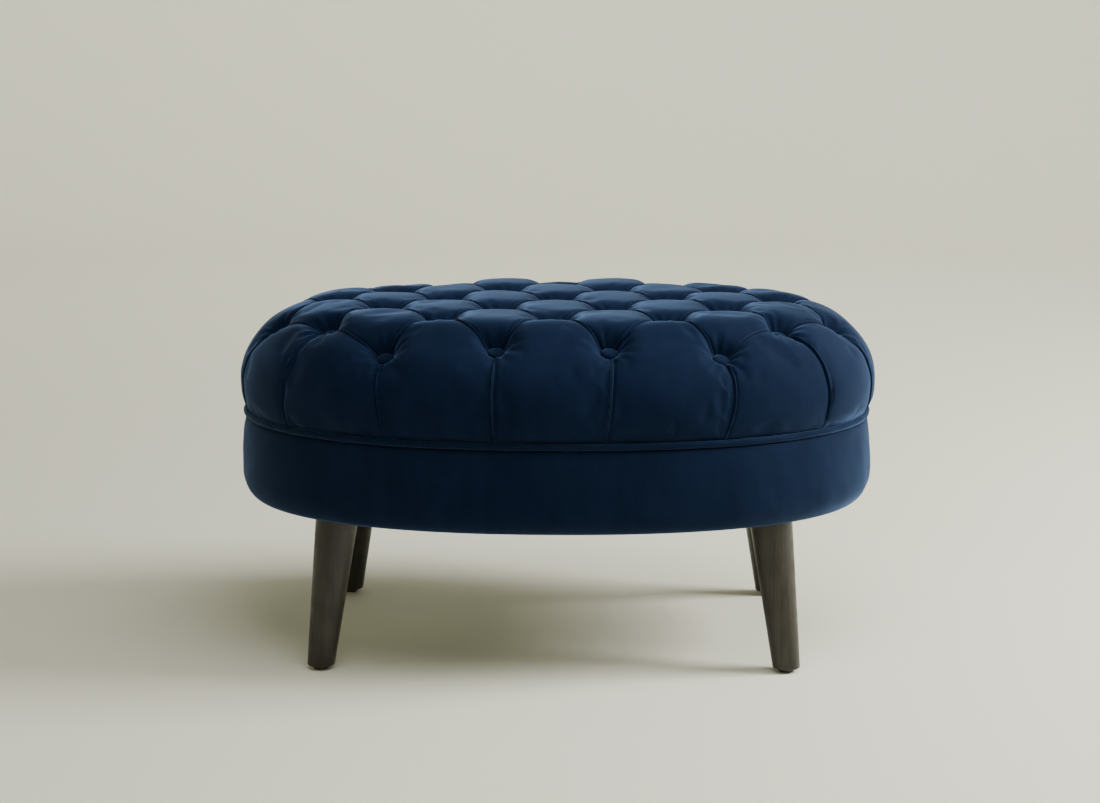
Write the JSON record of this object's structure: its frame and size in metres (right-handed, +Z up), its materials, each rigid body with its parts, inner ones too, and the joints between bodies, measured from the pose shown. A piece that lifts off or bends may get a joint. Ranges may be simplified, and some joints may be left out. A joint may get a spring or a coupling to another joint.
{
  "type": "tufted ottoman",
  "caption": "Oval deep-buttoned velvet ottoman: domed diamond-tufted seat, welt, upholstered band, and splayed round tapered wooden legs on glides.",
  "frame": {"origin": "on the floor, under the middle of the oval", "axes": "+X along the length of the oval, +Y from the front to the back, +Z up"},
  "size_m": [0.88, 0.61, 0.48],
  "materials": {
    "velvet": "navy cotton velvet with a short soft pile",
    "seat_foam": null,
    "wadding": "soft polyester wadding, matte",
    "plywood": "sanded plywood, unfinished",
    "cambric": "black non-woven cambric, matte",
    "stained_wood": "dark stained hardwood, satin lacquer",
    "bolt_steel": "zinc-plated steel",
    "glide_plastic": "dark brown moulded plastic"
  },
  "bodies": {
    "root": {"apron_hoop": "plywood", "band_cover": "velvet", "band_padding": "wadding", "base_board": "plywood", "button_r1_c1": "velvet", "button_r1_c2": "velvet", "button_r1_c3": "velvet", "button_r1_c4": "velvet", "button_r2_c1": "velvet", "button_r2_c2": "velvet", "button_r2_c3": "velvet", "button_r2_c4": "velvet", "button_r2_c5": "velvet", "button_r3_c1": "velvet", "button_r3_c2": "velvet", "button_r3_c3": "velvet", "button_r3_c4": "velvet", "button_r3_c5": "velvet", "button_r3_c6": "velvet", "button_r4_c1": "velvet", "button_r4_c2": "velvet", "button_r4_c3": "velvet", "button_r4_c4": "velvet", "button_r4_c5": "velvet", "button_r5_c1": "velvet", "button_r5_c2": "velvet", "button_r5_c3": "velvet", "button_r5_c4": "velvet", "button_r5_c5": "velvet", "button_r5_c6": "velvet", "button_r6_c1": "velvet", "button_r6_c2": "velvet", "button_r6_c3": "velvet", "button_r6_c4": "velvet", "button_r6_c5": "velvet", "button_r7_c1": "velvet", "button_r7_c2": "velvet", "button_r7_c3": "velvet", "button_r7_c4": "velvet", "deck_board": "plywood", "dust_cover": "cambric", "foam_pad": "seat_foam", "glide_bl": "glide_plastic", "glide_br": "glide_plastic", "glide_fl": "glide_plastic", "glide_fr": "glide_plastic", "hanger_bolt_bl": "bolt_steel", "hanger_bolt_br": "bolt_steel", "hanger_bolt_fl": "bolt_steel", "hanger_bolt_fr": "bolt_steel", "leg_bl": "stained_wood", "leg_br": "stained_wood", "leg_fl": "stained_wood", "leg_fr": "stained_wood", "tee_nut_bl": "bolt_steel", "tee_nut_br": "bolt_steel", "tee_nut_fl": "bolt_steel", "tee_nut_fr": "bolt_steel", "top_cover": "velvet", "welt_cord": "velvet"}
  },
  "joints": []
}
